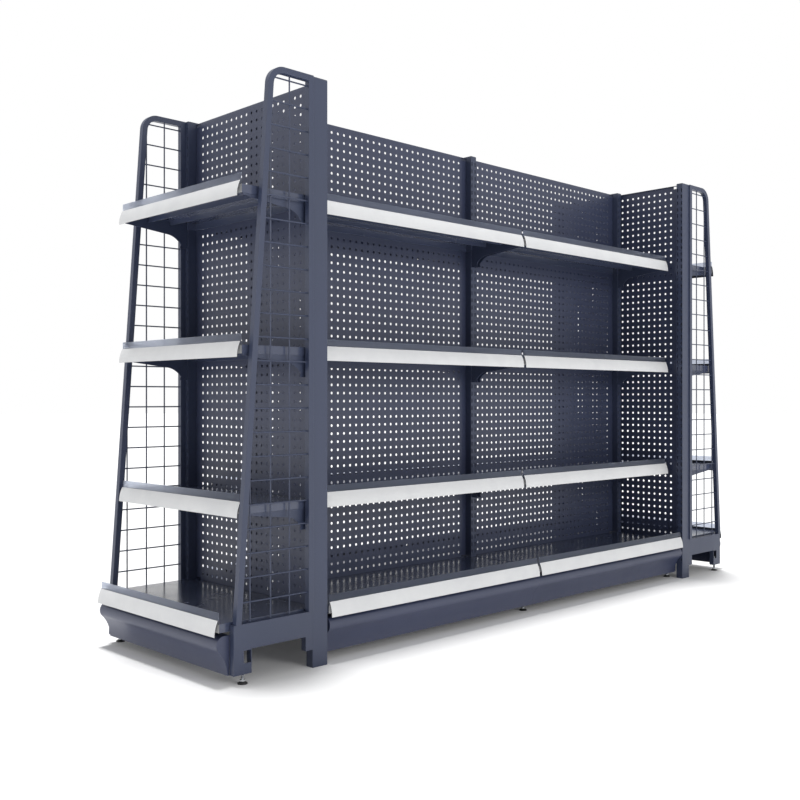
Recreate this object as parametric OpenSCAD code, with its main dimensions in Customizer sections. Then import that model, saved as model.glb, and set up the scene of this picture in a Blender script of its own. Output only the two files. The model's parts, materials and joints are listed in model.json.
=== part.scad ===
// Double-sided gondola shelving run: two bays back to back on one row of slotted
// uprights, with an end unit across each end. Millimetres, +Z up, origin on the floor
// at the centre of the run, +X along the run, -Y towards the front aisle.

/* [Run] */
// Width of one bay, from upright centre to upright centre
bay_w = 900; // [600:50:1000]
// Overall height
run_h = 1550; // [1450:50:1750]
// Width of the end units, across the run
end_w = 625; // [525:25:725]
// Pitch of the upright slots and of the shelf heights
pitch = 25; // [25:5:30]

/* [Uprights] */
// Width of the slotted face
post_w = 26; // [25:1:40]
// Depth of the tube, at right angles to the slotted face
post_d = 50; // [50:2:60]
// Wall of the tube
post_wall = 2; // [1.5:0.5:3]
// Width of one slot
slot_w = 4; // [3.5:0.5:5]
// Height of one slot
slot_h = 14; // [12:1:16]
// Distance between the two columns of slots
slot_gap = 16; // [13:1:18]

/* [Shelves] */
// Front face of the upper decks, out from the back panel
shelf_out = 240; // [200:10:300]
// Front face of the base decks, out from the back panel
base_out = 306; // [300:2:330]
// Top of the base decks above the floor
base_z = 155; // [150:1:165]
// Top of the lowest upper deck above the floor
first_z = 440; // [415:25:465]
// Height between upper decks, in slots
step_slots = 16; // [12:1:17]
// Depth of the folded edge of a deck
deck_h = 22; // [20:1:26]
// Thickness of the deck sheet
deck_t = 1.5; // [1:0.1:2]
// Depth of a shelf bracket at the upright
bracket_h = 78; // [70:1:90]
// Thickness of a bracket plate
bracket_t = 2.5; // [2:0.1:3]

/* [Price rails] */
// Height of the label strip
rail_h = 40; // [36:1:44]
// How much further out the lower edge of the strip is than the upper one
rail_lean = 10; // [8:1:12]
// Wall of the extrusion
rail_t = 1.5; // [1.2:0.1:1.8]
// Upper edge of the strip above the deck
rail_up = 9; // [6:1:12]
// Height of the frosted riser above the strip
riser_h = 19; // [10:1:40]

/* [Base] */
// Underside of the legs and plinths above the floor
leg_z = 25; // [24:1:28]
// Front of the legs, out from the back panel
leg_out = 277; // [270:1:280]
// Length of a leg, measured outwards
leg_w = 53.5; // [45:0.5:60]
// Width of an end unit's base bracket
side_w = 18; // [16:1:20]
// Top of an end unit's base bracket above the floor
side_top = 149; // [145:1:152]
// Steel thickness of the base brackets
base_t = 2; // [1.5:0.5:3]
// Radius of the plinth's upper bulge
bulge_r = 22; // [20:1:24]
// Height of the bulge's centre above the floor
bulge_z = 102; // [98:1:104]

/* [Side fences] */
// Side of the square tube
tube = 16; // [12:1:18]
// Outer radius of the bend
bend_r = 50; // [40:1:60]
// Start of the bend, out from the end panel
bend_out = 125; // [115:1:140]
// Foot of the sloping tube, out from the end panel
fence_out = 273; // [268:1:285]
// Diameter of the wires
wire_d = 4; // [3:0.5:4]
// Pitch of the wires
wire_pitch = 60; // [50:1:75]

/* [Levelling feet] */
// Diameter of the pad
pad_d = 25; // [22:1:30]
// Diameter of the threaded stud
stud_d = 8; // [8:1:10]
// Foot axis, out from the back panel
foot_out = 245; // [240:1:250]

/* [Hidden] */
$fn = 48;

slate = "#5a6072";
panel_slate = "#474b5c";
rail_white = "#e2e2e3";
frosted = [0.82, 0.85, 0.88, 0.5];
black = "#1a1a1c";
zinc = "#b9bdc2";

clear = 0.2;                               // gap between pieces that only meet
cut = 1;                                   // how far a cutter runs past a face
sheet_t = 1.2;                             // thickness of the back panels
cap_t = 3;                                 // thickness of an upright's cap
post_h = run_h - cap_t;                    // cut length of the uprights
panel_top = run_h - 4;
tie_z = [60, 120];                         // lower and upper face of the tie beams
slot_z0 = 22.5;                            // height of slot row 0, below the lowest cut one
slot_rows = [2 : floor((post_h - slot_z0 - slot_h) / pitch)];

end_x = bay_w + post_w / 2 + 11;           // mid-plane of an end panel
end_half = end_w / 2;
end_post_y = end_half - post_w / 2;        // centre of an end unit's upright
post_front = post_d / 2;                   // slotted face, out from the panel plane
end_set = 4.5;                             // an end unit's uprights stand this far out of its panel plane
end_front = post_front + end_set;          // their slotted face

LEVELS = [base_z, first_z, first_z + step_slots * pitch, first_z + 2 * step_slots * pitch];
function level_out(i) = i == 0 ? base_out : shelf_out;

run_deck_w = bay_w - 7;                    // a deck is as wide as its bay, less a gap
run_notch_w = bay_w - post_w - 6;          // its tongue passes between the uprights
end_deck_w = end_w - 36.5;                 // it passes between its two base brackets
end_notch_w = end_w - 2 * post_w - 5;
run_rail_w = bay_w - 12;
run_plinth_w = bay_w - 4;
end_rail_w = end_deck_w;
run_bracket_x = bay_w / 2 - slot_gap / 2;
end_bracket_x = end_post_y - slot_gap / 2 - 0.25;

SIDES = [["front", 180, 0], ["rear", 0, 0], ["left", 90, end_x], ["right", -90, end_x]];

// Puts a piece drawn with X along the shelf and Y outwards on a side of the run.
module on_side(name) {
    for (s = SIDES) if (s[0] == name) rotate([0, 0, s[1]]) translate([0, s[2], 0]) children();
}

module both_bays() {
    for (s = [-1, 1]) translate([s * bay_w / 2, 0, 0]) children();
}

// Runs a profile drawn as (outwards, up) along X, centred.
module along_x(width) {
    rotate([90, 0, 90]) linear_extrude(height = width, center = true) children();
}

function arc(centre, r, from, to, steps = 16) =
    [for (i = [0 : steps]) let (a = from + (to - from) * i / steps) centre + r * [cos(a), sin(a)]];

// ---- uprights ----

// Square-cornered tube, slotted on the two faces that look along Y.
module slotted_tube() {
    color(slate) difference() {
        translate([-post_w / 2, -post_d / 2, 0]) cube([post_w, post_d, post_h]);
        translate([-post_w / 2 + post_wall, -post_d / 2 + post_wall, -cut])
            cube([post_w - 2 * post_wall, post_d - 2 * post_wall, post_h + 2 * cut]);
        for (k = slot_rows, s = [-1, 1])
            translate([s * slot_gap / 2 - slot_w / 2, -post_d / 2 - cut, slot_z0 + k * pitch - slot_h / 2])
                cube([slot_w, post_d + 2 * cut, slot_h]);
    }
}

module upright(i) {
    translate([i * bay_w, 0, 0]) slotted_tube();
}

module end_upright(sx, sy) {
    translate([sx * (end_x + end_set), sy * end_post_y, 0]) rotate([0, 0, 90]) slotted_tube();
}

module cap() {
    lip = 1.2;
    translate([-post_w / 2, -post_d / 2, post_h]) cube([post_w, post_d, cap_t - lip]);
    translate([-post_w / 2 + lip, -post_d / 2 + lip, post_h]) cube([post_w - 2 * lip, post_d - 2 * lip, cap_t]);
}

module upright_caps() {
    color(slate) {
        for (i = [-1 : 1]) translate([i * bay_w, 0, 0]) cap();
        for (sx = [-1, 1], sy = [-1, 1])
            translate([sx * (end_x + end_set), sy * end_post_y, 0]) rotate([0, 0, 90]) cap();
    }
}

// Box beams that tie the uprights together and carry the panels, behind the base decks.
module tie_beams() {
    beam_h = tie_z[1] - tie_z[0];
    run_len = bay_w - post_w;
    end_len = end_w - 2 * post_w;
    color(slate) {
        both_bays() translate([-run_len / 2, -10, tie_z[0]]) cube([run_len, 20, beam_h]);
        for (s = [-1, 1])
            translate([s * (end_x - 1) - 8, -end_len / 2, tie_z[0]]) cube([16, end_len, beam_h]);
    }
}

// ---- back panels ----

// Sheet with its edges folded back; drawn with X across, the folds towards +Y.
module panel(width, fold) {
    bottom = tie_z[1];
    color(panel_slate) difference() {
        translate([-width / 2, -sheet_t / 2, bottom]) cube([width, fold + sheet_t / 2, panel_top - bottom]);
        translate([-width / 2 + sheet_t, sheet_t / 2, bottom + sheet_t])
            cube([width - 2 * sheet_t, fold + cut, panel_top - bottom - 2 * sheet_t]);
    }
}

module back_panel(s) {
    translate([s * bay_w / 2, 0, 0]) panel(bay_w - post_w - 2 * clear, 12);
}

module end_panel(s) {
    translate([s * end_x, 0, 0]) rotate([0, 0, s * 90]) panel(end_w - 2 * post_w - 2 * clear, 7);
}

// ---- decks ----

module deck_outline(width, tongue_w, face, out, inset) {
    tongue_y = 3.5 + inset;
    full_y = face + 2 + inset;
    translate([-width / 2 + inset, full_y]) square([width - 2 * inset, out - inset - full_y]);
    translate([-tongue_w / 2 + inset, tongue_y]) square([tongue_w - 2 * inset, full_y - tongue_y + cut]);
}

// Folded tray, open below, with two ribs and a notch for each bracket in its rear edge;
// z = 0 is the top of the deck.
module deck(width, tongue_w, face, out) {
    rib_w = width - 2 * 7;
    rib_h = deck_h - 6;
    inner_w = width - 2 * deck_t;
    notch_w = 5;
    color(slate) translate([0, 0, -deck_h]) {
        difference() {
            linear_extrude(height = deck_h) deck_outline(width, tongue_w, face, out, 0);
            translate([0, 0, -cut]) linear_extrude(height = deck_h - deck_t + cut)
                deck_outline(width, tongue_w, face, out, deck_t);
            for (x = [-inner_w / 2, inner_w / 2 - notch_w])
                translate([x, face, -cut]) cube([notch_w, 5, deck_h - deck_t + cut]);
        }
        for (f = [0.38, 0.68])
            translate([-rib_w / 2, f * out, deck_h - rib_h]) cube([rib_w, deck_t, rib_h]);
    }
}

module run_decks(side, i) {
    on_side(side) both_bays() translate([0, 0, LEVELS[i]])
        deck(run_deck_w, run_notch_w, post_front, level_out(i));
}

module end_deck(side, i) {
    on_side(side) translate([0, 0, LEVELS[i]]) deck(end_deck_w, end_notch_w, end_front, level_out(i));
}

// ---- shelf brackets ----

// Plate under the end of a deck, with three hooks in the slots of an upright's face;
// z = 0 is the deck's top.
module bracket(face) {
    tip = shelf_out - deck_t - 2;
    waist = [face + 70, -0.53 * bracket_h];
    heel = [face + 27, -bracket_h];
    r = 62;
    centre = waist + r * [sin(4), -cos(4)];
    hook_h = slot_h - 4;
    first_hook = -17.5;
    color(slate) {
        along_x(bracket_t) {
            polygon(concat(
                [[face + clear, -deck_t], [tip, -deck_t], [tip, -deck_h - 4]],
                arc(centre, r, 94, 146),
                [heel, [face + clear, -bracket_h]]));
            for (k = [0 : 2]) translate([face - post_wall - 4, first_hook - k * pitch - hook_h / 2 + 1]) {
                square([4 + post_wall + clear + 1, hook_h]);
                translate([0, -4]) square([3.6, hook_h]);
            }
        }
    }
}

module bracket_pairs(x, face) {
    for (i = [1 : 3], s = [-1, 1]) translate([s * x, 0, LEVELS[i]]) bracket(face);
}

module run_brackets(side) {
    on_side(side) both_bays() bracket_pairs(run_bracket_x, post_front);
}

module end_brackets(side) {
    on_side(side) bracket_pairs(end_bracket_x, end_front);
}

// ---- price rails and risers ----

// Open extrusion: a back plate on the deck's edge, and a curved label strip in front of it.
// (0, 0) is the deck's upper front edge.
module rail_profile() {
    top_out = 5;
    lean = 2 * atan(rail_lean / rail_h);
    r = rail_h / sin(lean);
    low = rail_up - rail_h;
    centre = [top_out + rail_lean - r, low];
    web_z = rail_up - 8;
    translate([0, -deck_h]) square([rail_t, deck_h + rail_up]);
    translate([0, web_z - rail_t]) square([top_out + 0.3, rail_t]);
    intersection() {
        translate(centre) difference() {
            circle(r = r, $fn = 180);
            circle(r = r - rail_t, $fn = 180);
        }
        translate([0, low]) square([top_out + rail_lean + cut, rail_h]);
    }
}

module rails(width) {
    color(rail_white)
        for (i = [0 : 3]) translate([0, level_out(i), LEVELS[i]]) along_x(width) rail_profile();
}

// Strip of frosted plastic that stands in the groove of the rail.
module risers(width) {
    riser_t = 1.5;
    foot = rail_up - 8;
    color(frosted)
        for (i = [0 : 3]) translate([0, level_out(i), LEVELS[i]]) along_x(width)
            translate([rail_t + 0.1, foot]) square([riser_t, riser_h + 8]);
}

module run_rails(side) {
    on_side(side) both_bays() rails(run_rail_w);
}

module end_rails(side) {
    on_side(side) rails(end_rail_w);
}

module run_risers() {
    for (side = ["front", "rear"]) on_side(side) both_bays() risers(run_rail_w);
}

module end_risers() {
    for (side = ["left", "right"]) on_side(side) risers(end_rail_w);
}

// ---- base ----

// Side view of a base bracket: beam, front leg and a short lug down the upright.
function bracket_side(top, face, i) = let (rear = face + clear, beam_z = 85, lug_z = 48, lug = face + 23) [
    [rear + i, lug_z + i], [rear + i, top - i], [leg_out - i, top - i], [leg_out - i, leg_z + i],
    [leg_out - leg_w + i, leg_z + i], [leg_out - leg_w + i, beam_z + i],
    [lug - i, beam_z + i], [lug - i, lug_z + i]];

// Pressed channel, its web at +X and its open side at -X, with a window in the web of the leg
// and the stud hole in its foot.
module base_channel(width, top, face) {
    window = [23.5, 31];
    hook_h = slot_h - 4;
    difference() {
        along_x(width) polygon(bracket_side(top, face, 0));
        translate([-base_t, 0, 0]) along_x(width) polygon(bracket_side(top, face, base_t));
        translate([width / 2 - base_t - cut, leg_out - leg_w + base_t, 52])
            cube([base_t + 2 * cut, window[0] - base_t, window[1]]);
        translate([0, foot_out, leg_z - cut]) cylinder(d = stud_d + 0.4, h = base_t + 2 * cut);
    }
    translate([0, face, 0]) for (k = [2 : 4])
        translate([0, 0, slot_z0 + k * pitch - hook_h / 2]) children();
}

module base_hook(x) {
    hook_h = slot_h - 4;
    translate([x - 1.5, -post_wall - 2, 0]) cube([3, post_wall + 2 + clear + 0.5, hook_h]);
}

module run_base_brackets() {
    top = base_z - deck_h;
    color(slate) for (side = ["front", "rear"], i = [-1 : 1])
        on_side(side) translate([i * bay_w, 0, 0]) base_channel(post_w, top, post_front) {
            for (s = [-1, 1]) base_hook(s * slot_gap / 2);
        }
}

// The end unit's channels stand outside its base deck and carry it on a ledge.
module end_base_brackets() {
    ledge_z = base_z - deck_h - base_t;
    x = end_half - side_w / 2;
    color(slate) for (side = ["left", "right"], m = [0, 1]) on_side(side) mirror([m, 0, 0]) {
        translate([x, 0, 0]) base_channel(side_w, side_top, end_front) {
            base_hook(end_post_y + slot_gap / 2 - x);
        }
        translate([end_half - side_w - 10, end_front + 6, ledge_z])
            cube([side_w + 10 - base_t / 2, leg_out - end_front - 12, base_t]);
    }
}

// Kick plate: a convex bulge under the rail that sweeps in to the foot of the legs, closed
// by a cheek at each end.
module plinth(width) {
    t = 1.5;
    c1 = [leg_out + 16, bulge_z];
    toe = leg_out + 6;
    k = cos(45);
    r2 = (c1.x + bulge_r * k - toe) / (1 - k);
    c2 = c1 + (bulge_r + r2) * [k, -k];
    back = leg_out + clear;
    top = c1.y + bulge_r;
    lip = asin(t / (r2 + t));
    outside = concat([[back, top]], arc(c1, bulge_r, 90, -45), arc(c2, r2, 135, 180), [[back, c2.y]]);
    inside = concat(
        [[back, c2.y + t]], arc(c2, r2 + t, 180 - lip, 135), arc(c1, bulge_r - t, -45, 90), [[back, top - t]]);
    color(slate) {
        along_x(width) polygon(concat(outside, inside));
        for (s = [-1, 1]) translate([s * (width - t) / 2, 0, 0]) along_x(t) polygon(outside);
    }
}

module run_plinths(side) {
    joint = 0.6;
    for (s = [-1, 1]) on_side(side) translate([s * (run_plinth_w + joint) / 2, 0, 0]) plinth(run_plinth_w);
}

module end_plinth(side) {
    on_side(side) plinth(end_deck_w);
}

// ---- side fences ----

BEND = [bend_out, run_h - bend_r];
FOOT = [fence_out, side_top];
bend_to_foot = FOOT - BEND;
// Direction of the sloping tube's outer face, from the bend's centre
slope = acos(bend_r / norm(bend_to_foot)) + atan2(bend_to_foot.y, bend_to_foot.x);

// Outline of the bent tube, inset by i from its outer face.
function fence_outline(i) = concat(
    [[end_front + i, side_top - (i > 0 ? cut : 0)], [end_front + i, run_h - i]],
    arc(BEND, bend_r - i, 90, slope),
    [FOOT + [(i > 0 ? cut * tan(slope) : 0) - i / cos(slope), i > 0 ? -cut : 0]]);

inner_r = bend_r - tube;
// How far out the tube's inner face is at height z, and how high it is at distance y.
function inner_out(z) = z > BEND.y + inner_r * sin(slope)
    ? BEND.x + sqrt(pow(inner_r, 2) - pow(z - BEND.y, 2))
    : FOOT.x - tube / cos(slope) - (z - side_top) * tan(slope);
function inner_top(y) = y <= BEND.x ? run_h - tube
    : y < BEND.x + inner_r * cos(slope) ? BEND.y + sqrt(pow(inner_r, 2) - pow(y - BEND.x, 2))
    : side_top + (FOOT.x - tube / cos(slope) - y) / tan(slope);

WIRE_OUT = [100.5, 160.5, 223.5];
wire_z0 = 201;
embed = 5;                                 // how far a wire's end is let into the tube
fence_proud = 4.5;                         // how far the tube stands out of the side of the end unit

// Bent tube with welded wires; X = 0 is the outer face of the end unit.
module fence() {
    rows = floor((run_h - tube - 12 - wire_z0) / wire_pitch);
    row_x = -tube / 2;
    stay_x = row_x - wire_d - 0.05;
    rear = end_front + tube - embed;
    color(slate) {
        translate([-tube / 2, 0, 0]) along_x(tube) difference() {
            polygon(fence_outline(0));
            polygon(fence_outline(tube));
        }
        for (k = [0 : rows]) let (z = wire_z0 + k * wire_pitch)
            translate([row_x, rear, z]) rotate([-90, 0, 0])
                cylinder(d = wire_d, h = inner_out(z) + embed - rear, $fn = 24);
        for (y = WIRE_OUT) translate([stay_x, y, side_top])
            cylinder(d = wire_d, h = inner_top(y) + embed - side_top, $fn = 24);
    }
}

module fence_at(side, m) {
    on_side(side) mirror([m, 0, 0]) translate([end_half + fence_proud, 0, 0]) fence();
}

// ---- levelling feet ----

// Each entry: side of the run, place along it.
FEET = [
    ["front", bay_w], ["front", 0], ["front", -bay_w],
    ["rear", -bay_w], ["rear", 0], ["rear", bay_w],
    ["left", -(end_half - side_w / 2)], ["left", end_half - side_w / 2],
    ["right", end_half - side_w / 2], ["right", -(end_half - side_w / 2)],
];

module at_foot(i) {
    on_side(FEET[i][0]) translate([FEET[i][1], foot_out, 0]) children();
}

// Pad, wrench collar and stud, turned from below to lift or lower the leg.
module foot(i) {
    stud_top = 58;
    at_foot(i) {
        color(black) cylinder(d = pad_d, h = 3);
        color(black) translate([0, 0, 3]) cylinder(d1 = pad_d - 2, d2 = stud_d + 4, h = 4);
        color(zinc) translate([0, 0, 7]) rotate([0, 0, 30]) cylinder(d = 13 / cos(30), h = 4, $fn = 6);
        color(zinc) translate([0, 0, 11]) cylinder(d = stud_d, h = stud_top - 11);
    }
}

// Welded nut on the floor of each leg.
module foot_nuts() {
    color(zinc) for (i = [0 : len(FEET) - 1]) at_foot(i) translate([0, 0, leg_z + base_t]) difference() {
        rotate([0, 0, 30]) cylinder(d = 13 / cos(30), h = 6.5, $fn = 6);
        translate([0, 0, -cut]) cylinder(d = stud_d + 0.4, h = 6.5 + 2 * cut);
    }
}

upright(-1);  // upright_left
upright(0);  // upright_middle
upright(1);  // upright_right
end_upright(-1, -1);  // end_upright_front_left
end_upright(-1, 1);  // end_upright_rear_left
end_upright(1, -1);  // end_upright_front_right
end_upright(1, 1);  // end_upright_rear_right
upright_caps();
tie_beams();
back_panel(-1);  // back_panel_left
back_panel(1);  // back_panel_right
end_panel(-1);  // end_panel_left
end_panel(1);  // end_panel_right
run_decks("front", 0);  // front_deck_1
run_decks("front", 1);  // front_deck_2
run_decks("front", 2);  // front_deck_3
run_decks("front", 3);  // front_deck_4
run_decks("rear", 0);  // rear_deck_1
run_decks("rear", 1);  // rear_deck_2
run_decks("rear", 2);  // rear_deck_3
run_decks("rear", 3);  // rear_deck_4
end_deck("left", 0);  // left_deck_1
end_deck("left", 1);  // left_deck_2
end_deck("left", 2);  // left_deck_3
end_deck("left", 3);  // left_deck_4
end_deck("right", 0);  // right_deck_1
end_deck("right", 1);  // right_deck_2
end_deck("right", 2);  // right_deck_3
end_deck("right", 3);  // right_deck_4
run_brackets("front");  // front_brackets
run_brackets("rear");  // rear_brackets
end_brackets("left");  // left_brackets
end_brackets("right");  // right_brackets
run_rails("front");  // front_price_rails
run_rails("rear");  // rear_price_rails
end_rails("left");  // left_price_rails
end_rails("right");  // right_price_rails
run_risers();
end_risers();
run_base_brackets();
end_base_brackets();
run_plinths("front");  // front_plinths
run_plinths("rear");  // rear_plinths
end_plinth("left");  // left_plinth
end_plinth("right");  // right_plinth
fence_at("left", 1);  // fence_front_left
fence_at("left", 0);  // fence_rear_left
fence_at("right", 0);  // fence_front_right
fence_at("right", 1);  // fence_rear_right
foot_nuts();
foot(0);  // foot_front_left
foot(1);  // foot_front_middle
foot(2);  // foot_front_right
foot(3);  // foot_rear_left
foot(4);  // foot_rear_middle
foot(5);  // foot_rear_right
foot(6);  // foot_end_front_left
foot(7);  // foot_end_rear_left
foot(8);  // foot_end_front_right
foot(9);  // foot_end_rear_right
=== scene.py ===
"""Looks for the gondola shelving run: perforated panels, powder coat, plastics, light and camera.

Metres, +Z up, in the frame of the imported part: +X along the run, -Y towards the front aisle.
"""
import json
import math

import bpy
import numpy as np
from mathutils import Matrix, Vector


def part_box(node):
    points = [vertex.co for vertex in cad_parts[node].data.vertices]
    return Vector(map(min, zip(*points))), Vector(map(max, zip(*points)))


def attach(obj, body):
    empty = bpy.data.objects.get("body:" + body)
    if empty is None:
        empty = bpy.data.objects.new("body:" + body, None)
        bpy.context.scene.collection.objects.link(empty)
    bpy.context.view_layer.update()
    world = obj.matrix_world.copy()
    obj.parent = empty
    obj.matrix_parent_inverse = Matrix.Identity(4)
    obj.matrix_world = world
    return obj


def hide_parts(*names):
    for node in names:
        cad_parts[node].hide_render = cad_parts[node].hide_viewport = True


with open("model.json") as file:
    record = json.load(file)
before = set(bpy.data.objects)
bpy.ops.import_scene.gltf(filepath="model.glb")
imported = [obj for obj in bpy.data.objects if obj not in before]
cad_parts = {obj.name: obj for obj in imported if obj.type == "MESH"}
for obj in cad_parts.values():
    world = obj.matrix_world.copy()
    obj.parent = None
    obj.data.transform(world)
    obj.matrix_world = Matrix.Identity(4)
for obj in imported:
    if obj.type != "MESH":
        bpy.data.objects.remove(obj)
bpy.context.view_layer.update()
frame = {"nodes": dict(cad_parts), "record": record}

MM = 0.001

# Perforated panels
SHEET_THICKNESS = 1.2 * MM
BEND_RADIUS = 1.8 * MM          # outside of the folds
PITCH = 25 * MM                 # of the holes, the same as the upright slots
HOLE_RADIUS = 4.3 * MM
HOLE_SIDES = 12
SHARP_ANGLE = math.radians(35)  # steeper edges of the sheet aren't smoothed
FIRST_ROW_Z = 172.5 * MM        # lowest row of holes
HOLE_ROWS = 55
RUN_COLUMNS = 33
END_COLUMNS = 21

# Levelling feet
PAD_HEIGHT = 7 * MM
COLLAR_TOP = 11 * MM            # above the underside of the pad
THREAD_PITCH = 1.25 * MM

NOISE_MIDDLE = (0.3, 0.7)       # where nearly all values of a noise lie
MIX_A, MIX_B, MIX_RESULT = 6, 7, 2   # colour sockets of a mix node


# ---- small helpers ----

def linear(hex_colour):
    """A linear RGBA colour from a "#rrggbb" one."""
    channels = [int(hex_colour[i:i + 2], 16) / 255 for i in (1, 3, 5)]
    return [c / 12.92 if c <= 0.04045 else ((c + 0.055) / 1.055) ** 2.4 for c in channels] + [1]


class Nodes:
    """Builds one node material; each method returns the output socket of the node it adds."""

    def __init__(self, name):
        self.material = bpy.data.materials.new(name)
        self.material.use_nodes = True
        self.tree = self.material.node_tree
        self.shader = self.tree.nodes["Principled BSDF"]
        self.place = self.add("ShaderNodeTexCoord").outputs["Object"]

    def add(self, kind, **settings):
        """A new node itself, for the methods that return its socket."""
        node = self.tree.nodes.new(kind)
        for key, value in settings.items():
            setattr(node, key, value)
        return node

    def plug(self, socket, value):
        """Links an output socket to the socket, or sets the socket's own number."""
        if isinstance(value, bpy.types.NodeSocket):
            self.tree.links.new(value, socket)
        else:
            socket.default_value = value

    def uniform(self, **values):
        """Numbers that are the same all over the surface, straight on the shader's own sockets."""
        for key, value in values.items():
            self.shader.inputs[key.replace("_", " ")].default_value = value

    def stretched(self, scale):
        """Object coordinates times scale, for a noise drawn out along an axis."""
        node = self.add("ShaderNodeMapping")
        self.plug(node.inputs["Vector"], self.place)
        node.inputs["Scale"].default_value = scale
        return node.outputs["Vector"]

    def noise(self, scale, detail=2.0, roughness=0.5, vector=None):
        node = self.add("ShaderNodeTexNoise")
        self.plug(node.inputs["Vector"], vector or self.place)
        self.plug(node.inputs["Scale"], scale)
        self.plug(node.inputs["Detail"], detail)
        self.plug(node.inputs["Roughness"], roughness)
        return node.outputs["Fac"]

    def cells(self, scale):
        node = self.add("ShaderNodeTexVoronoi")
        self.plug(node.inputs["Vector"], self.place)
        self.plug(node.inputs["Scale"], scale)
        return node.outputs["Distance"]

    def remap(self, value, low, high, to_low=0.0, to_high=1.0):
        node = self.add("ShaderNodeMapRange")
        self.plug(node.inputs["Value"], value)
        ends = {"From Min": low, "From Max": high, "To Min": to_low, "To Max": to_high}
        for socket, number in ends.items():
            self.plug(node.inputs[socket], number)
        return node.outputs["Result"]

    def spread(self, noise, to_low=0.0, to_high=1.0):
        """The middle of a noise stretched to a range."""
        return self.remap(noise, *NOISE_MIDDLE, to_low, to_high)

    def math(self, operation, a, b=0.0):
        node = self.add("ShaderNodeMath", operation=operation)
        self.plug(node.inputs[0], a)
        self.plug(node.inputs[1], b)
        return node.outputs["Value"]

    def mix(self, share, a, b):
        node = self.add("ShaderNodeMix", data_type="RGBA")
        self.plug(node.inputs["Factor"], share)
        self.plug(node.inputs[MIX_A], a)
        self.plug(node.inputs[MIX_B], b)
        return node.outputs[MIX_RESULT]

    def bump(self, height, distance, strength=1.0, normal=None):
        node = self.add("ShaderNodeBump")
        self.plug(node.inputs["Height"], height)
        node.inputs["Distance"].default_value = distance
        node.inputs["Strength"].default_value = strength
        if normal:
            self.plug(node.inputs["Normal"], normal)
        return node.outputs["Normal"]

    def rounded(self, radius):
        node = self.add("ShaderNodeBevel", samples=4)
        node.inputs["Radius"].default_value = radius
        return node.outputs["Normal"]

    def facing(self, direction):
        """1 where the surface looks in the direction, 0 where it is square to it."""
        node = self.add("ShaderNodeVectorMath", operation="DOT_PRODUCT")
        self.plug(node.inputs[0], self.add("ShaderNodeNewGeometry").outputs["True Normal"])
        self.plug(node.inputs[1], direction)
        return node.outputs["Value"]

    def edges(self, rounded):
        """1 along sharp edges and 0 elsewhere."""
        return self.remap(self.facing(rounded), 0.995, 0.86)

    def finish(self, colour, roughness, normal):
        self.plug(self.shader.inputs["Base Color"], colour)
        self.plug(self.shader.inputs["Roughness"], roughness)
        self.plug(self.shader.inputs["Normal"], normal)
        return self.material


# ---- materials ----

def powder_coat(name, colours, roughness, peel, edge_radius=1.0 * MM, grain=0.5, clear_coat=0.0):
    """Slate powder coat: orange peel, a fine speckle, faint handling marks and a painted highlight along
    sharp edges.
    """
    m = Nodes(name)
    base, light, dark = (linear(c) for c in colours)
    rounded = m.rounded(edge_radius)
    clouds = m.noise(2.3, 4, 0.6)
    speckle = m.noise(1400, 1)
    smears = m.noise(9, 5, 0.65, m.stretched((1, 1, 0.35)))
    # painted highlight: a lighter colour along sharp edges, broken up by the handling-mark noise
    painted_edge_highlight = m.math("MULTIPLY", m.edges(rounded), m.remap(smears, 0.35, 0.65, 0.3, 0.8))
    coat = m.mix(m.remap(clouds, 0.35, 0.7), base, dark)
    coat = m.mix(m.remap(speckle, 0.55, 0.8, 0, 0.35), coat, light)
    coat = m.mix(painted_edge_highlight, coat, light)
    surface = m.bump(m.noise(260, 2, 0.45), 0.25 * MM, peel, rounded)
    surface = m.bump(speckle, 0.05 * MM, grain, surface)
    m.uniform(Specular_IOR_Level=0.5, Coat_Weight=clear_coat, Coat_Roughness=0.12)
    return m.finish(coat, m.spread(smears, roughness - 0.05, roughness + 0.07), surface)


def label_strip(name, outward):
    """Off-white label face where it looks outward; the back, ends and insides, which look elsewhere, get a
    slate colour that is painted shade.
    """
    m = Nodes(name)
    # 1 on the faces that look outward; every other face of the strip gets the painted shade below
    white = m.math("GREATER_THAN", m.facing(outward), 0.5)
    lines = m.noise(900, 2, 0.5, m.stretched((0.02, 0.02, 1)))
    grain = m.noise(650, 2)
    dust = m.noise(14, 4, 0.6)
    face = m.mix(m.remap(dust, 0.35, 0.75), linear("#dadbdc"), linear("#d2d3d5"))
    face = m.mix(m.remap(grain, 0.5, 0.8, 0, 0.3), face, linear("#c6c8cb"))
    # painted shade: this slate on the back, ends and insides stands in for their shadow, with a random tone
    back = m.mix(m.spread(dust), linear("#2f323b"), linear("#3a3e49"))
    surface = m.bump(lines, 0.06 * MM, 0.5)
    surface = m.bump(grain, 0.04 * MM, 0.4, surface)
    return m.finish(m.mix(white, back, face), m.spread(dust, 0.34, 0.46), surface)


def frosted_plastic(name):
    """Riser strip: smoky sheet that blurs what is behind it, with a fine frost."""
    m = Nodes(name)
    frost = m.noise(1200, 2)
    haze = m.noise(6, 3)
    colour = m.mix(m.spread(haze), linear("#adb5c8"), linear("#a1a9bd"))
    m.uniform(Alpha=0.75, Specular_IOR_Level=0.3, Transmission_Weight=0.92, IOR=1.15)
    return m.finish(colour, m.spread(frost, 0.4, 0.55), m.bump(frost, 0.02 * MM, 0.05))


def moulded_plastic(name):
    """Slate caps, with the fine spark texture of a mould."""
    m = Nodes(name)
    spark = m.cells(1100)
    tone = m.noise(40, 3)
    colour = m.mix(m.spread(tone), linear("#4c5163"), linear("#434858"))
    surface = m.bump(spark, 0.05 * MM, 0.5, m.rounded(0.6 * MM))
    return m.finish(colour, m.remap(spark, 0, 0.8, 0.42, 0.6), surface)


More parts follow.
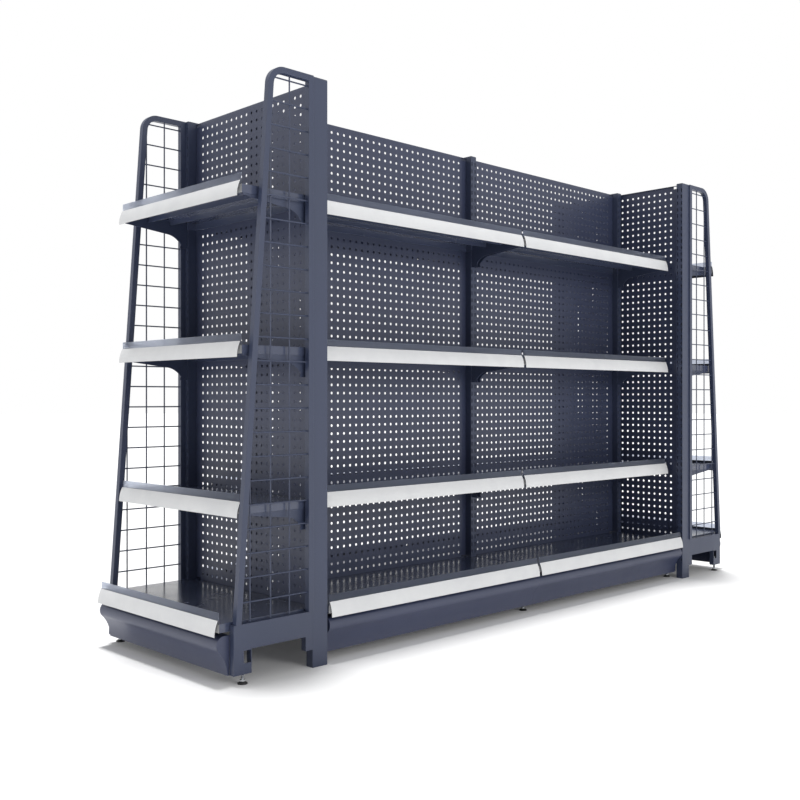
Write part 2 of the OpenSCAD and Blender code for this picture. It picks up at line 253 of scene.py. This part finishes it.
def zinc_plate(name):
    """Bright zinc with a slight cloudiness."""
    m = Nodes(name)
    clouds = m.noise(160, 4, 0.6)
    colour = m.mix(m.spread(clouds), linear("#d5d8dc"), linear("#b4b8bf"))
    surface = m.bump(clouds, 0.05 * MM, 0.4, m.rounded(0.4 * MM))
    m.uniform(Metallic=1.0)
    return m.finish(colour, m.spread(clouds, 0.2, 0.38), surface)


def levelling_foot(name, pad_top, thread_start):
    """Black moulded pad below pad_top, and above it zinc, threaded from thread_start up."""
    m = Nodes(name)
    height = m.add("ShaderNodeSeparateXYZ")
    m.plug(height.inputs["Vector"], m.place)
    z = height.outputs["Z"]
    metal = m.math("GREATER_THAN", z, pad_top)
    threaded = m.math("GREATER_THAN", z, thread_start)
    ridge = m.math("SINE", m.math("MULTIPLY", z, 2 * math.pi / THREAD_PITCH))
    clouds = m.noise(220, 3, 0.6)
    zinc = m.mix(m.spread(clouds), linear("#dfe1e4"), linear("#b8bcc2"))
    rubber = m.mix(m.spread(clouds), linear("#1d1d1f"), linear("#29292b"))
    surface = m.bump(m.math("MULTIPLY", ridge, threaded), 0.4 * MM, 0.8, m.rounded(0.5 * MM))
    surface = m.bump(clouds, 0.05 * MM, 0.4, surface)
    m.plug(m.shader.inputs["Metallic"], metal)
    return m.finish(m.mix(metal, rubber, zinc), m.remap(metal, 0, 1, 0.55, 0.27), surface)


# Each coat: its own colour, the lighter one of its speckle and of the painted edge highlight, the darker one
# of its clouds.
FRAME_COAT = ("#333b53", "#4e5670", "#30384e")
PLINTH_COAT = ("#393f58", "#515870", "#353b52")
PANEL_COAT = ("#363d55", "#4d546d", "#333950")
DECK_COAT = ("#414860", "#565d75", "#3d4457")

pad_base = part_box("foot_front_left")[0].z
MATERIALS = {
    "frame_paint": powder_coat("frame_powder_coat", FRAME_COAT, 0.42, peel=0.30),
    "panel_paint": powder_coat("panel_powder_coat", PANEL_COAT, 0.40, peel=0.28, edge_radius=0.5 * MM),
    "deck_paint": powder_coat("deck_powder_coat", DECK_COAT, 0.22, peel=0.04, edge_radius=1.5 * MM,
                              grain=0.1, clear_coat=0.3),
    "plinth_paint": powder_coat("plinth_powder_coat", PLINTH_COAT, 0.36, peel=0.26),
    "wire_paint": powder_coat("fence_powder_coat", FRAME_COAT, 0.38, peel=0.26, edge_radius=1.2 * MM),
    "frosted_plastic": frosted_plastic("frosted_riser_plastic"),
    "cap_plastic": moulded_plastic("cap_plastic"),
    "foot_metal": levelling_foot("levelling_foot_finish", pad_base + PAD_HEIGHT, pad_base + COLLAR_TOP),
    "zinc": zinc_plate("zinc_plate"),
}

# Which way the label strips of each side look
OUTWARD = {"front": (0, -1, 0), "rear": (0, 1, 0), "left": (-1, 0, 0), "right": (1, 0, 0)}


def dress(obj, slot, material=None):
    """Gives an object the material of a slot of the record, or its own variant of it."""
    obj.data.materials.clear()
    obj.data.materials.append(material or MATERIALS[slot])


for part in frame["record"]["subparts"]:
    name, slot = part["node"], part["material_slot"]
    side = name.split("_")[0]
    own = label_strip("label_strip_" + side, OUTWARD[side]) if slot == "rail_plastic" else None
    dress(frame["nodes"][name], slot, own)


# ---- perforated panels ----

class Sheet:
    """Collects vertices and quads of a sheet in the XZ plane, its front towards -Y."""

    def __init__(self):
        self.corners = []

    def quads(self, a, b, c, d):
        """Adds one quad for each row of the four (n, 3) arrays of corners."""
        self.corners.append(np.stack(np.broadcast_arrays(a, b, c, d), axis=1))

    def mesh(self, name):
        """A mesh of all the quads, with the vertices they share joined."""
        corners = np.concatenate(self.corners)
        flat = np.round(corners.reshape(-1, 3), 7)
        points, index = np.unique(flat, axis=0, return_inverse=True)
        made = bpy.data.meshes.new(name)
        made.from_pydata(points.tolist(), [], index.reshape(-1, 4).tolist())
        made.polygons.foreach_set("use_smooth", [True] * len(made.polygons))
        made.set_sharp_from_angle(angle=SHARP_ANGLE)
        made.validate()
        return made


def at_depth(points, y):
    """(x, z) points as (x, y, z) ones."""
    points = np.asarray(points, float)
    return np.column_stack([points[:, 0], np.full(len(points), y), points[:, 1]])


def square_ring():
    """Points round a square from corner to corner, one for each side of a hole."""
    corners = np.array([(1, 1), (-1, 1), (-1, -1), (1, -1)], float)
    steps = HOLE_SIDES // 4
    return np.array([corners[i] + (corners[(i + 1) % 4] - corners[i]) * j / steps
                     for i in range(4) for j in range(steps)])


def boundary(lines_x, lines_z, low, high):
    """The closed loop of grid points on the rectangle from low to high."""
    (x0, z0), (x1, z1) = low, high
    loop = [(x0, z0)] + [(x, z0) for x in lines_x] + [(x1, z0)] + [(x1, z) for z in lines_z]
    loop += [(x1, z1)] + [(x, z1) for x in reversed(lines_x)]
    loop += [(x0, z1)] + [(x0, z) for z in reversed(lines_z)]
    return loop


def grid_lines(centres):
    """The lines between and through the squares round a row of holes, where their rings have corners."""
    steps = len(centres) * (HOLE_SIDES // 4)
    return list(np.linspace(centres[0] - PITCH / 2, centres[-1] + PITCH / 2, steps + 1))


def punch(sheet, xs, zs, front, back):
    """Adds the holed middle: for each hole a ring of quads on both faces, and the wall of the hole."""
    angles = math.radians(45) + np.arange(HOLE_SIDES) * 2 * math.pi / HOLE_SIDES
    hole = HOLE_RADIUS * np.column_stack([np.cos(angles), np.sin(angles)])
    square = square_ring() * PITCH / 2
    centres = np.array([(x, z) for x in xs for z in zs])
    for i in range(HOLE_SIDES):
        j = (i + 1) % HOLE_SIDES
        inner_i, inner_j = centres + hole[i], centres + hole[j]
        outer_i, outer_j = centres + square[i], centres + square[j]
        sheet.quads(*(at_depth(p, front) for p in (inner_i, outer_i, outer_j, inner_j)))
        sheet.quads(*(at_depth(p, back) for p in (inner_j, outer_j, outer_i, inner_i)))
        sheet.quads(at_depth(inner_i, front), at_depth(inner_j, front),
                    at_depth(inner_j, back), at_depth(inner_i, back))


def perforated_mesh(name, half_width, z_low, z_high, fold, columns):
    """A sheet with round holes whose four edges are folded back by fold."""
    sheet = Sheet()
    front, back = -SHEET_THICKNESS / 2, SHEET_THICKNESS / 2
    xs = (np.arange(columns) - (columns - 1) / 2) * PITCH
    zs = FIRST_ROW_Z + np.arange(HOLE_ROWS) * PITCH
    lines_x, lines_z = grid_lines(xs), grid_lines(zs)
    punch(sheet, xs, zs, front, back)

    def rim(inset, y):
        """The sheet's outline, inset from its outermost rectangle, as a loop."""
        x, z0, z1 = half_width - inset, z_low + inset, z_high - inset
        return at_depth(boundary(lines_x, lines_z, (-x, z0), (x, z1)), y)

    def margin(inset, y):
        """Corners of the plain band between the rim and the holed middle."""
        outer = rim(inset, y)
        inner = outer.copy()
        inner[:, 0] = np.clip(outer[:, 0], lines_x[0], lines_x[-1])
        inner[:, 2] = np.clip(outer[:, 2], lines_z[0], lines_z[-1])
        return outer, np.roll(outer, -1, 0), np.roll(inner, -1, 0), inner

    bend = [math.radians(a) for a in (0, 30, 60, 90)]
    profile = [(BEND_RADIUS * (1 - math.sin(a)), front + BEND_RADIUS * (1 - math.cos(a))) for a in bend]
    profile += [(0, fold), (SHEET_THICKNESS, fold), (SHEET_THICKNESS, back)]
    for (inset_a, y_a), (inset_b, y_b) in zip(profile, profile[1:]):
        a, b = rim(inset_a, y_a), rim(inset_b, y_b)
        sheet.quads(a, b, np.roll(b, -1, 0), np.roll(a, -1, 0))
    sheet.quads(*margin(BEND_RADIUS, front))
    sheet.quads(*reversed(margin(SHEET_THICKNESS, back)))
    return sheet.mesh(name)


def hang_panel(name, node, mesh, x, turn):
    """Puts a perforated panel where its CAD node is; turn is its angle about Z."""
    panel = bpy.data.objects.new(name, mesh)
    bpy.context.scene.collection.objects.link(panel)
    panel.matrix_world = Matrix.Translation((x, 0, 0)) @ Matrix.Rotation(turn, 4, "Z")
    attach(panel, "frame")
    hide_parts(node)
    dress(panel, "panel_paint")


run_low, run_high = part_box("back_panel_left")
end_low, end_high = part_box("end_panel_right")
end_plane = end_high.x - SHEET_THICKNESS / 2
run_mesh = perforated_mesh("run_panel_sheet", (run_high.x - run_low.x) / 2, run_low.z, run_high.z,
                           run_high.y, RUN_COLUMNS)
end_mesh = perforated_mesh("end_panel_sheet", end_high.y, end_low.z, end_high.z,
                           end_plane - end_low.x, END_COLUMNS)
for side in ("left", "right"):
    low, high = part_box("back_panel_" + side)
    hang_panel("perforated_panel_" + side, "back_panel_" + side, run_mesh, (low.x + high.x) / 2, 0)
for side, sign in (("left", -1), ("right", 1)):
    hang_panel("perforated_end_" + side, "end_panel_" + side, end_mesh, sign * end_plane, sign * math.pi / 2)


# ---- studio ----

def place_light(data, place, direction):
    light = bpy.data.objects.new(data.name, data)
    bpy.context.scene.collection.objects.link(light)
    light.location = place
    light.rotation_euler = Vector(direction).to_track_quat("-Z", "Y").to_euler()


def soft_light(name, place, target, size, watts):
    """A round area light at place that looks at target."""
    data = bpy.data.lights.new(name, "AREA")
    data.shape = "DISK"
    data.size = size
    data.energy = watts
    place_light(data, place, Vector(target) - Vector(place))


def overhead_light(direction, spread, strength):
    """A broad light from far above, which shines in the direction."""
    data = bpy.data.lights.new("overhead_light", "SUN")
    data.angle = spread
    data.energy = strength
    place_light(data, (0, 0, 0), direction)


def studio_floor(half, glow):
    """A wide pale floor with a very faint tone and glow; half is half its width."""
    m = Nodes("studio_floor")
    tone = m.noise(0.8, 2)
    colour = m.mix(m.spread(tone), linear("#fbfbfb"), linear("#f8f8f8"))
    m.uniform(Specular_IOR_Level=0.0, Emission_Color=(1, 1, 1, 1), Emission_Strength=glow)
    corners = [(-half, -half, 0), (half, -half, 0), (half, half, 0), (-half, half, 0)]
    mesh = bpy.data.meshes.new("studio_floor")
    mesh.from_pydata(corners, [], [(0, 1, 2, 3)])
    mesh.materials.append(m.finish(colour, m.spread(tone, 0.8, 0.9), m.bump(tone, 0.02 * MM, 0.1)))
    floor = bpy.data.objects.new("studio_floor", mesh)
    bpy.context.scene.collection.objects.link(floor)


def white_world(seen, ambient):
    """A white surround, seen and mirrored at full strength, that lights matt surfaces more gently."""
    world = bpy.data.worlds.new("studio_world")
    world.use_nodes = True
    tree = world.node_tree
    background = tree.nodes["Background"]
    background.inputs["Color"].default_value = (1, 1, 1, 1)
    rays = tree.nodes.new("ShaderNodeLightPath")
    strength = tree.nodes.new("ShaderNodeMapRange")
    tree.links.new(rays.outputs["Is Diffuse Ray"], strength.inputs["Value"])
    strength.inputs["To Min"].default_value = seen
    strength.inputs["To Max"].default_value = ambient
    tree.links.new(strength.outputs["Result"], background.inputs["Strength"])
    bpy.context.scene.world = world


def camera(place, heading, lens, shift_x, shift_y):
    """A level camera that looks along heading, an angle from +Y towards +X."""
    data = bpy.data.cameras.new("camera")
    data.lens = lens
    data.sensor_width = 36
    data.shift_x = shift_x
    data.shift_y = shift_y
    data.clip_end = 200
    made = bpy.data.objects.new("camera", data)
    bpy.context.scene.collection.objects.link(made)
    made.location = place
    made.rotation_euler = (math.pi / 2, 0, -heading)
    bpy.context.scene.camera = made


bpy.context.scene.view_settings.view_transform = "Standard"
studio_floor(half=40, glow=0.04)
white_world(seen=1.0, ambient=0.43)
overhead_light(direction=(-0.05, -0.10, -1), spread=math.radians(11), strength=2.7)
soft_light("key_light", place=(-0.3, -6.0, 2.1), target=(0, 0, 0.75), size=2.6, watts=92)
soft_light("left_light", place=(-6.0, 1.1, 1.6), target=(-1.2, 0, 0.8), size=1.4, watts=24)
camera(place=(-2.6155, -2.3591, 0.706), heading=math.radians(44.48), lens=45.11,
       shift_x=-0.0093, shift_y=-0.002)
